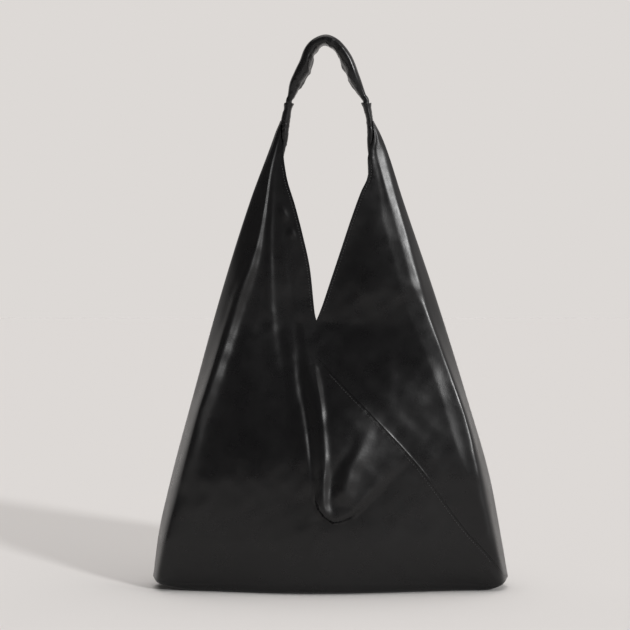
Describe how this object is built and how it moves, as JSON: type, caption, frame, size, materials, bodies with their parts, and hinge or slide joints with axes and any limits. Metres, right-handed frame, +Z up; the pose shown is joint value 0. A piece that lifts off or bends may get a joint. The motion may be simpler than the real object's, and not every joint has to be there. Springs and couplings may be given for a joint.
{
  "type": "soft triangle tote bag",
  "caption": "Soft leather triangle tote: two folded pieces meet on a diagonal seam and rise as wings round a V mouth to sleeves that hold a gathered hinged handle.",
  "frame": {"origin": "on the ground, at the middle of the box round the bag", "axes": "+Z up, +X to the right and +Y to the back, seen from the front"},
  "size_m": [0.39, 0.1198, 0.607],
  "materials": {
    "black_leather": "smooth fine grain with a soft sheen",
    "black_lining": "plain matt weave",
    "dark_steel": "dark plated"
  },
  "bodies": {
    "bag": {"front_panel": "black_leather", "back_panel": "black_leather", "facing_front": "black_leather", "facing_back": "black_leather", "lining_front": "black_lining", "lining_back": "black_lining", "slip_pocket": "black_lining", "snap_socket": "dark_steel", "snap_stud": "dark_steel", "sleeve_left": "black_leather", "sleeve_right": "black_leather", "strap_end_left": "black_leather", "strap_end_right": "black_leather"},
    "handle": {"handle_core": "black_leather", "handle_cover": "black_leather"}
  },
  "joints": [
    {"name": "handle_fold", "type": "hinge", "parent": "bag", "child": "handle", "pos_m": [-0.0033, 0, 0.537], "axis": [1, 0, 0], "range_deg": [-90, 90]}
  ]
}
